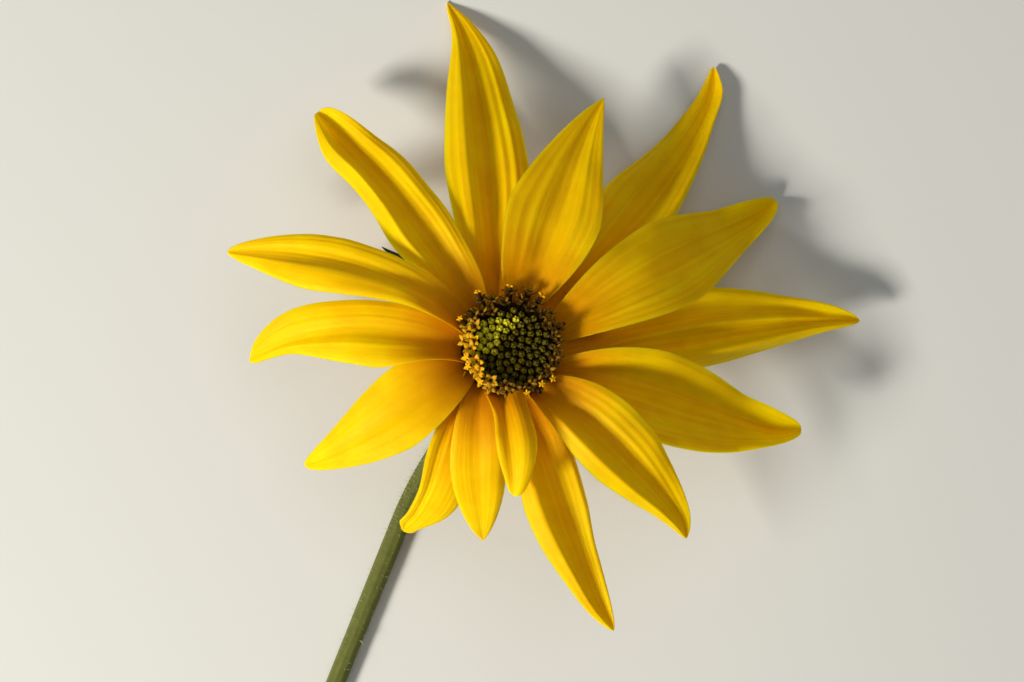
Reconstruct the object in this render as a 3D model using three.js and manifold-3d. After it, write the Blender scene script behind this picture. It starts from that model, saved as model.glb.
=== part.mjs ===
// A picked Jerusalem artichoke flower, Helianthus tuberosus, laid down face up on a table.
// The stem lies on the table along -Y, and the head at its upper end leans over towards +Y
// until the tips of its front rays rest on the table too.
// Millimetres, +Z up, the table at z = 0. The origin is on the table, under the middle of
// the flower's outer box. Bearings are degrees clockwise from +Y, seen from above.
import * as THREE from "three";
import { mergeVertices } from "three/addons/utils/BufferGeometryUtils.js";
import Module from "manifold-3d";

const wasm = await Module();
wasm.setup();

const rad = THREE.MathUtils.degToRad;
const lerp = THREE.MathUtils.lerp;

// The head: the middle of the rim that the rays grow from, and how far its face leans to +Y.
const headAt = new THREE.Vector3(-0.9, 26.27, 17);
const headLean = 20;
const head = new THREE.Group();
head.position.copy(headAt);
head.rotation.x = rad(-headLean);
head.updateMatrixWorld(true);

// Sizes of the head, out from its own axis and along it from the rim.
const rimInner = 5.3;
const rimOuter = 6.8;
const rimLevel = -0.9;
const cupDepth = 6.2;
const cupFoot = 2.3;

// The rays: how thick they are, where they stand on the rim, and how wide at the foot.
const rayThickness = 0.6;
const rayFootRadius = 6.0;
const rayFootLevel = -0.3;
const clawWidth = 1.45;
const raySteps = 12;
const rayColumns = 4;

// One row for each ray, clockwise from the one at the top left of the face.
// root: bearing of its foot on the rim. leave, rise: the way it leaves the rim, as a bearing
// and as an angle above the face. bearing, reach, height: where its tip lies, seen from above,
// and how high over the table. heading, droop: the way its tip points, as a bearing and as an
// angle below level. arch: how long the two bends are, as shares of the straight distance.
// width, fullest, taper: its greatest width, how far along that is, and how full the tip is.
// trough: how far the margins stand above the midrib where it is widest.
// roll: the blade's turn about its own length, at the foot and at the tip; a positive roll
// lifts the clockwise margin.
const rays = [
  { root: -40, leave: -27, rise: 10, bearing: 325.7, reach: 44, height: 0, heading: -50, droop: 20,
    arch: [0.45, 0.25], width: 10.2, fullest: 0.42, taper: 1.6, trough: 0.8, roll: [-4, 0] },
  { root: -9, leave: -3, rise: 34, bearing: 356.5, reach: 32.7, height: 8.5, heading: 8, droop: 20,
    arch: [0.4, 0.3], width: 11.5, fullest: 0.42, taper: 1.28, trough: 0.8, roll: [0, 0] },
  { root: 17, leave: 19, rise: 4, bearing: 12.8, reach: 43.5, height: 0, heading: -10, droop: 14,
    arch: [0.45, 0.25], width: 8.4, fullest: 0.48, taper: 1.2, trough: 0.7, roll: [-6, 0] },
  { root: 43, leave: 38, rise: 34, bearing: 37.7, reach: 37.1, height: 0, heading: 30, droop: 42,
    arch: [0.42, 0.3], width: 11, fullest: 0.46, taper: 1.45, trough: 0.5, roll: [0, 0] },
  { root: 73, leave: 55, rise: 4, bearing: 61.5, reach: 43, height: 4, heading: 72, droop: 18,
    arch: [0.4, 0.3], width: 8.9, fullest: 0.4, taper: 1.75, trough: 0.9, roll: [-4, 0] },
  { root: 99, leave: 80, rise: 22, bearing: 83, reach: 36.1, height: 8, heading: 74, droop: 28,
    arch: [0.4, 0.3], width: 11, fullest: 0.42, taper: 1.65, trough: 0.9, roll: [-6, 0] },
  { root: 124, leave: 103, rise: 39, bearing: 111.8, reach: 30.7, height: 16, heading: 123, droop: 40,
    arch: [0.45, 0.3], width: 8.8, fullest: 0.4, taper: 2.0, trough: 0.6, roll: [0, 0] },
  { root: 146, leave: 134, rise: 3, bearing: 135.8, reach: 35.2, height: 20, heading: 128, droop: 10,
    arch: [0.4, 0.3], width: 7.8, fullest: 0.4, taper: 1.8, trough: 0.5, roll: [4, 9] },
  { root: 163, leave: 141, rise: 68, bearing: 153.6, reach: 17.2, height: 24.4, heading: 172, droop: 50,
    arch: [0.45, 0.35], width: 4.3, fullest: 0.45, taper: 2.0, trough: 0.1, roll: [0, 0] },
  { root: 183, leave: 166, rise: 19, bearing: 164.1, reach: 23.1, height: 12, heading: 152, droop: 60,
    arch: [0.4, 0.4], width: 6.6, fullest: 0.45, taper: 1.85, trough: 0.2, roll: [7, 0] },
  { root: 204, leave: 177, rise: -4, bearing: 186, reach: 25.4, height: 10, heading: 202, droop: 50,
    arch: [0.4, 0.35], width: 4.7, fullest: 0.5, taper: 2.5, trough: 0.2, roll: [0, 0] },
  { root: 221, leave: 208, rise: 30, bearing: 216.7, reach: 28.2, height: 13, heading: 226, droop: 50,
    arch: [0.4, 0.35], width: 8.9, fullest: 0.42, taper: 1.4, trough: 0.2, roll: [0, 0] },
  { root: 241, leave: 263, rise: 35, bearing: 243.3, reach: 31.4, height: 11, heading: 205, droop: 48,
    arch: [0.4, 0.33], width: 7.4, fullest: 0.4, taper: 1.9, trough: 0.4, roll: [-4, 0] },
  { root: 270, leave: 281, rise: 43, bearing: 265.1, reach: 36, height: 12, heading: 246, droop: 35,
    arch: [0.4, 0.35], width: 6.5, fullest: 0.54, taper: 1.9, trough: 0.6, roll: [-26, 6] },
  { root: 295, leave: 303, rise: 20, bearing: 296.7, reach: 37.2, height: 6, heading: 286, droop: 32,
    arch: [0.4, 0.35], width: 7.3, fullest: 0.45, taper: 3.4, trough: 0.8, roll: [0, 0] },
];

// Bracts under the rays, in three rings that stand a little higher and reach a little further
// each. One of the inner ring is longer than the rest and shows between two rays.
const bractRings = [
  { count: 8, first: 8, foot: [3.4, -5.3], rise: 0, reach: 10.8, level: -6.6, width: 2.6 },
  { count: 8, first: 30, foot: [4.4, -4.6], rise: 18, reach: 11.8, level: -4.6, width: 3.0 },
  { count: 8, first: 18, foot: [5.2, -3.6], rise: 22, reach: 12.3, level: -2.7, width: 3.2 },
];
const longBract = { bearing: 288, reach: 20.4 };
const bractThickness = 0.7;
const bractFull = 0.15; // the share of its length over which a bract keeps its full width
const bractTaper = 1.3;
const bractFold = 0.35; // how far its margins stand above its midrib
const unevenness = 0.8; // how much the bracts' reach and level differ, in all

// The disc: buds in the middle, opening florets round them, spaced by the golden angle.
const goldenAngle = 137.508;
const budCount = 58;
const floretCount = 48;
const starCount = 18;
const budSpacing = 0.565;
const budRadius = 0.42;
const budLevels = [1.1, 2.7];
const floretBand = [4.45, 6.7];
const floretFoot = { radius: 4.2, spread: 0.28, level: 0.7 };
const floretTop = { level: 3.7, fall: 0.5, scatter: 0.4 };
const halfOpen = { lobeReach: 0.5, lobeRise: 0.35, column: 0.1 };
const open = { lobeReach: 0.8, lobeRise: 0, column: 0.9 };

// The stem: a straight run on the table, then a bend up into the back of the head.
const stemRadius = [1.0, 1.2];
const neckRadius = 1.7;
const collarRadius = 2.1; // where the stem runs into the cup
const stemSides = 10;
const stemSteps = [7, 10];
const bendPull = [11, 7]; // how far the bend keeps the run's way, and the head's
const cutEnd = [-1.3, -95];
const touchDown = [-3.7, -25];

const tableSize = 400;

const yellow = new THREE.MeshStandardMaterial({ color: "#f7c600", roughness: 0.6, metalness: 0 });
const floretYellow = new THREE.MeshStandardMaterial({ color: "#c98a12", roughness: 0.7, metalness: 0 });
const budGreen = new THREE.MeshStandardMaterial({ color: "#7f8c1c", roughness: 0.6, metalness: 0 });
const cupGreen = new THREE.MeshStandardMaterial({ color: "#31441b", roughness: 0.75, metalness: 0 });
const stemGreen = new THREE.MeshStandardMaterial({ color: "#5a6a24", roughness: 0.75, metalness: 0 });

const bearingVector = (bearing) => new THREE.Vector3(Math.sin(rad(bearing)), Math.cos(rad(bearing)), 0);
const scatter = (seed) => THREE.MathUtils.euclideanModulo(Math.sin(seed * 12.9898) * 43758.5453, 1) - 0.5;

// Solids for joining and cutting, and back again.
function toSolid(geometry) {
  const bare = geometry.clone();
  bare.deleteAttribute("normal");
  bare.deleteAttribute("uv");
  const merged = mergeVertices(bare, 1e-3);
  const index = merged.index.array;
  const faces = [];
  for (let i = 0; i < index.length; i += 3) {
    const [a, b, c] = index.slice(i, i + 3);
    if (a !== b && b !== c && c !== a) faces.push(a, b, c);
  }
  const vertProperties = merged.attributes.position.array;
  return new wasm.Manifold(new wasm.Mesh({ numProp: 3, vertProperties, triVerts: new Uint32Array(faces) }));
}

function toGeometry(solid) {
  const mesh = solid.getMesh();
  const geometry = new THREE.BufferGeometry();
  geometry.setAttribute("position", new THREE.Float32BufferAttribute(mesh.vertProperties, 3));
  geometry.setIndex(new THREE.Uint32BufferAttribute(mesh.triVerts, 1));
  return geometry;
}

const join = (solids) => solids.reduce((all, one) => all.add(one));

// A solid of revolution about the head's axis, from pairs of radius and level.
function turned(profile, sides) {
  const points = profile.map(([radius, level]) => new THREE.Vector2(radius, level));
  return toSolid(new THREE.LatheGeometry(points, sides).rotateX(Math.PI / 2));
}

// A closed thin blade over a surface, with its facets split alike on both faces.
function bladeGeometry(surface, thickness, steps, columns) {
  const places = [];
  for (const side of [1, -1]) {
    for (let i = 0; i <= steps; i++) {
      for (let j = 0; j <= columns; j++) {
        const { point, normal } = surface(i / steps, (2 * j) / columns - 1);
        places.push(...point.addScaledVector(normal, (side * thickness) / 2).toArray());
      }
    }
  }
  const row = columns + 1;
  const layer = row * (steps + 1);
  const faces = [];
  const quad = (a, b, c, d) => faces.push(a, b, c, a, c, d);
  for (let i = 0; i < steps; i++) {
    for (let j = 0; j < columns; j++) {
      const a = i * row + j;
      quad(a, a + 1, a + row + 1, a + row);
      faces.push(layer + a, layer + a + row + 1, layer + a + 1);
      faces.push(layer + a, layer + a + row, layer + a + row + 1);
    }
    const left = i * row;
    const right = left + columns;
    quad(left, left + row, layer + left + row, layer + left);
    quad(right + row, right, layer + right, layer + right + row);
  }
  for (let j = 0; j < columns; j++) {
    const last = steps * row + j;
    quad(j + 1, j, layer + j, layer + j + 1);
    quad(last, last + 1, layer + last + 1, layer + last);
  }
  const geometry = new THREE.BufferGeometry();
  geometry.setAttribute("position", new THREE.Float32BufferAttribute(places, 3));
  geometry.setIndex(faces);
  return geometry;
}

// A ray's midline, from its foot on the leaning rim to its tip.
function rayMidline(ray) {
  const foot = bearingVector(ray.root).multiplyScalar(rayFootRadius);
  foot.z = rayFootLevel;
  foot.applyMatrix4(head.matrixWorld);
  const leave = bearingVector(ray.leave).multiplyScalar(Math.cos(rad(ray.rise)));
  leave.z = Math.sin(rad(ray.rise));
  leave.transformDirection(head.matrixWorld);
  const tip = bearingVector(ray.bearing).multiplyScalar(ray.reach);
  tip.add(new THREE.Vector3(headAt.x, headAt.y, ray.height));
  const arrive = bearingVector(ray.heading).multiplyScalar(Math.cos(rad(ray.droop)));
  arrive.z = -Math.sin(rad(ray.droop));
  const chord = foot.distanceTo(tip);
  const first = foot.clone().addScaledVector(leave, ray.arch[0] * chord);
  const last = tip.clone().addScaledVector(arrive, -ray.arch[1] * chord);
  return new THREE.CubicBezierCurve3(foot, first, last, tip);
}

// Half of a ray's width at a share t of its length: a narrow claw, a full blade, a pointed tip.
function rayHalfWidth(ray, t) {
  if (t < ray.fullest) {
    const swell = Math.sin((Math.PI / 2) * (t / ray.fullest));
    return lerp(clawWidth, ray.width, swell) / 2;
  }
  return (ray.width / 2) * (1 - ((t - ray.fullest) / (1 - ray.fullest)) ** ray.taper);
}

// A point of the ray's middle layer and the direction its face looks in there.
// t runs from foot to tip, and u from the anticlockwise margin, -1, to the clockwise one, 1.
function raySurface(ray, midline, t, u) {
  const along = midline.getTangentAt(t);
  const turn = lerp(ray.leave, ray.heading, t);
  const across = bearingVector(turn + 90).transformDirection(head.matrixWorld);
  across.addScaledVector(along, -across.dot(along)).normalize();
  const face = new THREE.Vector3().crossVectors(across, along);
  const roll = rad(lerp(ray.roll[0], ray.roll[1], t));
  const side = across.clone().multiplyScalar(Math.cos(roll)).addScaledVector(face, Math.sin(roll));
  const up = face.clone().multiplyScalar(Math.cos(roll)).addScaledVector(across, -Math.sin(roll));
  const half = rayHalfWidth(ray, t);
  const slope = (2 * ray.trough * 1.6 * Math.abs(u) ** 0.6 * Math.sign(u)) / ray.width;
  const lift = (2 * half * ray.trough * Math.abs(u) ** 1.6) / ray.width;
  const point = midline.getPointAt(t).addScaledVector(side, u * half).addScaledVector(up, lift);
  const normal = up.addScaledVector(side, -slope).normalize();
  return { point, normal };
}

function makeRay(ray) {
  const midline = rayMidline(ray);
  const surface = (t, u) => raySurface(ray, midline, t, u);
  return toSolid(bladeGeometry(surface, rayThickness, raySteps, rayColumns));
}

// A bract: a short pointed blade that leaves the side of the cup and curls away.
function makeBract(ring, bearing, reach, seed) {
  const out = bearingVector(bearing);
  const place = (radius, level) => out.clone().multiplyScalar(radius).setZ(level);
  const foot = place(...ring.foot);
  const length = reach - ring.foot[0];
  const tip = place(reach, ring.level + unevenness * scatter(seed));
  const rise = 0.4 * length * Math.tan(rad(ring.rise));
  const first = place(ring.foot[0] + 0.4 * length, foot.z + rise);
  const last = place(reach - 0.4 * length, tip.z + 0.12 * length);
  const midline = new THREE.CubicBezierCurve3(foot, first, last, tip);
  const side = bearingVector(bearing + 90);
  const surface = (t, u) => {
    const half = (ring.width / 2) * (1 - (Math.max(0, t - bractFull) / (1 - bractFull)) ** bractTaper);
    const point = midline.getPoint(t).addScaledVector(side, u * half);
    const normal = new THREE.Vector3().crossVectors(side, midline.getTangent(t)).normalize();
    return { point: point.addScaledVector(normal, bractFold * Math.abs(u) * Math.min(1, half)), normal };
  };
  return toSolid(bladeGeometry(surface, bractThickness, 4, 2));
}

// The green cup behind the face, with its bracts.
function makeInvolucre() {
  const cup = turned([
    [0, -cupDepth], [cupFoot, -cupDepth], [4.2, -5.4], [6.0, -3.6], [rimOuter, -1.7],
    [rimOuter, rimLevel], [rimInner, rimLevel], [5.0, -1.5], [0, -1.5],
  ], 20);
  const bracts = bractRings.flatMap((ring, r) =>
    Array.from({ length: ring.count }, (_, i) => {
      const seed = 10 * r + i + 1;
      const bearing = ring.first + (360 / ring.count) * i;
      const usual = ring.reach + unevenness * scatter(seed + 40);
      const reach = bearing === longBract.bearing ? longBract.reach : usual;
      return makeBract(ring, bearing, reach, seed);
    }));
  return join([cup, ...bracts]);
}

// Where the k-th floret stands on the disc: its bearing, and a point from a radius and a level.
const spiralPlace = (k, radius, level) => bearingVector(k * goldenAngle).multiplyScalar(radius).setZ(level);

// A thin five-sided bud or floret, carried from its foot to its top along a leaning axis.
function standing(geometry, foot, top) {
  const axis = top.clone().sub(foot).normalize();
  const turn = new THREE.Quaternion().setFromUnitVectors(new THREE.Vector3(0, 0, 1), axis);
  return toSolid(geometry.applyQuaternion(turn).translate(foot.x, foot.y, foot.z));
}

function budGeometry(radius, height) {
  const waist = 0.7 * radius;
  const profile = [[0, 0], [waist, 0], [radius, 0.5 * height], [waist, 0.86 * height], [0, height]];
  const points = profile.map(([r, z]) => new THREE.Vector2(r, z));
  return new THREE.LatheGeometry(points, 5).rotateX(Math.PI / 2);
}

// A floret: a tube, five lobes at its mouth, and a column of anthers in the middle.
function floretGeometry(height, { lobeReach, lobeRise, column }) {
  const ring = (radius, level, shift) => Array.from({ length: 5 }, (_, i) => {
    const angle = ((i + shift) * 2 * Math.PI) / 5;
    return [radius * Math.cos(angle), radius * Math.sin(angle), level];
  });
  const places = [
    ...ring(0.24, 0, 0), ...ring(0.34, height - 0.5, 0), ...ring(lobeReach, height + lobeRise, 0.5),
    ...ring(0.2, height - 0.1, 0), ...ring(0.15, height + column, 0),
  ];
  const faces = [0, 2, 1, 0, 3, 2, 0, 4, 3, 20, 21, 22, 20, 22, 23, 20, 23, 24];
  for (let i = 0; i < 5; i++) {
    const j = (i + 1) % 5;
    const [foot, nextFoot, mouth, nextMouth, lobe] = [i, j, 5 + i, 5 + j, 10 + i];
    const [throat, nextThroat, top, nextTop] = [15 + i, 15 + j, 20 + i, 20 + j];
    faces.push(foot, nextFoot, nextMouth, foot, nextMouth, mouth, mouth, nextMouth, lobe);
    faces.push(throat, mouth, lobe, throat, lobe, nextThroat, nextThroat, lobe, nextMouth);
    faces.push(throat, nextThroat, nextTop, throat, nextTop, top);
  }
  const geometry = new THREE.BufferGeometry();
  geometry.setAttribute("position", new THREE.Float32BufferAttribute(places.flat(), 3));
  geometry.setIndex(faces);
  return geometry;
}

// The middle of the disc: a low dome set with green buds.
function makeBuds() {
  const dome = turned([[0, 0.8], [3.2, 0.8], [3.3, 1.2], [0, 1.8]], 12);
  const buds = Array.from({ length: budCount }, (_, k) => {
    const radius = budSpacing * Math.sqrt(k + 0.5);
    const foot = spiralPlace(k, radius * 0.74, budLevels[0]);
    const top = spiralPlace(k, radius, budLevels[1] + 0.1 * scatter(k));
    return standing(budGeometry(budRadius, foot.distanceTo(top)), foot, top);
  });
  return join([dome, ...buds]);
}

// The ring round it: opening florets on the inside, open ones leaning outwards over the rays.
function makeOpenFlorets() {
  const core = turned([
    [0, -1.2], [4.8, -1.2], [5.2, -0.4], [5.2, 0.8], [4.6, 1.3], [3.9, 1.3], [3.6, 0.5], [0, 0.5],
  ], 20);
  const florets = Array.from({ length: floretCount }, (_, i) => {
    const share = i / (floretCount - 1);
    const radius = Math.sqrt(lerp(floretBand[0] ** 2, floretBand[1] ** 2, share));
    const footRadius = floretFoot.radius + floretFoot.spread * (radius - floretBand[0]);
    const topLevel = floretTop.level - floretTop.fall * share + floretTop.scatter * scatter(i);
    const foot = spiralPlace(budCount + i, footRadius, floretFoot.level);
    const top = spiralPlace(budCount + i, radius, topLevel);
    const geometry = floretGeometry(foot.distanceTo(top), i < starCount ? halfOpen : open);
    return standing(geometry.rotateZ(i), foot, top);
  });
  return join([core, ...florets]);
}

// The stem's line, from its cut end along the table and up into the cup, a radius for each
// share of it, and a ten-sided skin with one side flat on the table.
function makeStem() {
  const level = (radius) => radius * Math.cos(Math.PI / stemSides);
  const axis = new THREE.Vector3(0, 0, 1).transformDirection(head.matrixWorld);
  const neck = new THREE.Vector3(0, 0, -cupDepth - 0.3).applyMatrix4(head.matrixWorld);
  const start = new THREE.Vector3(headAt.x + cutEnd[0], headAt.y + cutEnd[1], level(stemRadius[0]));
  const rest = new THREE.Vector3(headAt.x + touchDown[0], headAt.y + touchDown[1], level(stemRadius[1]));
  const ahead = rest.clone().sub(start).setZ(0).normalize();
  const run = new THREE.LineCurve3(start, rest);
  const leave = rest.clone().addScaledVector(ahead, bendPull[0]);
  const arrive = neck.clone().addScaledVector(axis, -bendPull[1]);
  const bend = new THREE.CubicBezierCurve3(rest, leave, arrive, neck);
  const [runSteps, bendSteps] = stemSteps;
  const stations = [];
  for (let i = 0; i < runSteps; i++) {
    stations.push([run, i / runSteps, lerp(stemRadius[0], stemRadius[1], i / runSteps)]);
  }
  for (let i = 0; i <= bendSteps; i++) {
    const radius = i < bendSteps ? lerp(stemRadius[1], neckRadius, (i / bendSteps) ** 1.5) : collarRadius;
    stations.push([bend, i / bendSteps, radius]);
  }

  const places = [];
  for (const [curve, t, radius] of stations) {
    const along = curve.getTangent(t);
    const side = new THREE.Vector3(1, 0, 0).addScaledVector(along, -along.x).normalize();
    const up = new THREE.Vector3().crossVectors(side, along);
    const centre = curve.getPoint(t);
    for (let k = 0; k < stemSides; k++) {
      const angle = ((k + 0.5) * 2 * Math.PI) / stemSides;
      const place = centre.clone().addScaledVector(side, radius * Math.sin(angle));
      places.push(...place.addScaledVector(up, -radius * Math.cos(angle)).toArray());
    }
  }
  const faces = [];
  const last = (stations.length - 1) * stemSides;
  for (let k = 0; k < stemSides; k++) {
    const next = (k + 1) % stemSides;
    for (let ring = 0; ring < last; ring += stemSides) {
      const above = ring + stemSides;
      faces.push(ring + k, above + k, above + next, ring + k, above + next, ring + next);
    }
    if (k > 0 && k < stemSides - 1) faces.push(0, k, k + 1, last, last + k + 1, last + k);
  }
  const geometry = new THREE.BufferGeometry();
  geometry.setAttribute("position", new THREE.Float32BufferAttribute(places, 3));
  geometry.setIndex(faces);
  return toSolid(geometry);
}

// Everything stands on the table: what would dip below it is cut flat.
const table = toSolid(new THREE.BoxGeometry(tableSize, tableSize, 20).translate(0, 0, -10));
const flower = new THREE.Group();
flower.add(head);

function addMesh(name, solid, material, parent = flower) {
  const mesh = new THREE.Mesh(toGeometry(solid), material);
  mesh.name = name;
  parent.add(mesh);
}

addMesh("stem", makeStem(), stemGreen);
addMesh("involucre", makeInvolucre(), cupGreen, head);
addMesh("disc_open_florets", makeOpenFlorets(), floretYellow, head);
addMesh("disc_bud_florets", makeBuds(), budGreen, head);
rays.forEach((ray, i) => {
  const name = `ray_floret_${String(i + 1).padStart(2, "0")}`;
  addMesh(name, makeRay(ray).subtract(table), yellow);
});

export default flower;
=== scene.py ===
"""A picked Jerusalem artichoke flower, laid face up on a table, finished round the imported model.

Shapes are worked out in millimetres and turned to metres as each mesh is finished.
Bearings are degrees clockwise from +Y, seen from above.
"""
import math
import random
from math import cos, pi, radians, sin

import bmesh
import bpy
from mathutils import Matrix, Vector, noise
from mathutils.geometry import interpolate_bezier


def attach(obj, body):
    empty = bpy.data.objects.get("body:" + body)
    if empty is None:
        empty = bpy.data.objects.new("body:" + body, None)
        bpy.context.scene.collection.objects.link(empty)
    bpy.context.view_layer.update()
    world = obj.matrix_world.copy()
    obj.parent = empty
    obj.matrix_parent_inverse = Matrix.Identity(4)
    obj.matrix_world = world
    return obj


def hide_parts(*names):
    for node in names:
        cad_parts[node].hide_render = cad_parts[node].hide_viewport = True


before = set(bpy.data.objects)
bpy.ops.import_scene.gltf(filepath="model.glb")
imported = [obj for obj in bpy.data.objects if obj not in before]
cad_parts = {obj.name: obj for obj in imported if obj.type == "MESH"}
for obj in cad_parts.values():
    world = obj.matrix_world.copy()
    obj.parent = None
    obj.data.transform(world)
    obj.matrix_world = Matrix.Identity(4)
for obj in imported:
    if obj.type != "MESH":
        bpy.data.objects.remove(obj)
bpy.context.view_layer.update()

MM = 0.001
PICTURE_TURN = 24  # how far the camera is turned about the upright, in degrees
scene = bpy.context.scene

# The flower's own sizes, in millimetres and degrees.

# The head: the middle of the rim that the rays grow from, and how far its face leans to +Y.
HEAD_AT = Vector((-0.9, 26.27, 17.0))
HEAD_LEAN = 20
HEAD = Matrix.Translation(HEAD_AT) @ Matrix.Rotation(radians(-HEAD_LEAN), 4, "X")
HEAD_TURN = HEAD.to_3x3()
CUP_DEPTH = 6.2

# What all rays have in common.
RAY_FOOT_RADIUS, RAY_FOOT_LEVEL = 5.5, -0.3
CLAW_WIDTH = 2.6
RAY_THICKNESS = 0.3
RAY_STEPS, RAY_COLUMNS = 96, 56
FOOT_GUTTER = 0.32  # how steeply the margins stand at the foot
FLARE_FROM = 0.6  # how far out from the midrib a margin turns down
VEINS, VEIN_HEIGHT, VEIN_WANDER = 4.6, 0.028, 0.7  # from midrib to margin, their height and drift
SLOW_WAVES, MARGIN_WAVES = 0.22, 0.3  # height of the waves of the blade and of its margins
LOWEST = 0.16  # no blade's middle lies closer to the table

# Shares of a ray's length: where folds and waves set in, where the foot's gutter runs out,
# where the tip's margins rise, and where the tip starts to bend.
FOLDS_IN, GUTTER_OUT, BOAT_IN, TIP_FROM = (0.04, 0.3), (0.05, 0.5), (0.72, 0.97), 0.86

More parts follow.
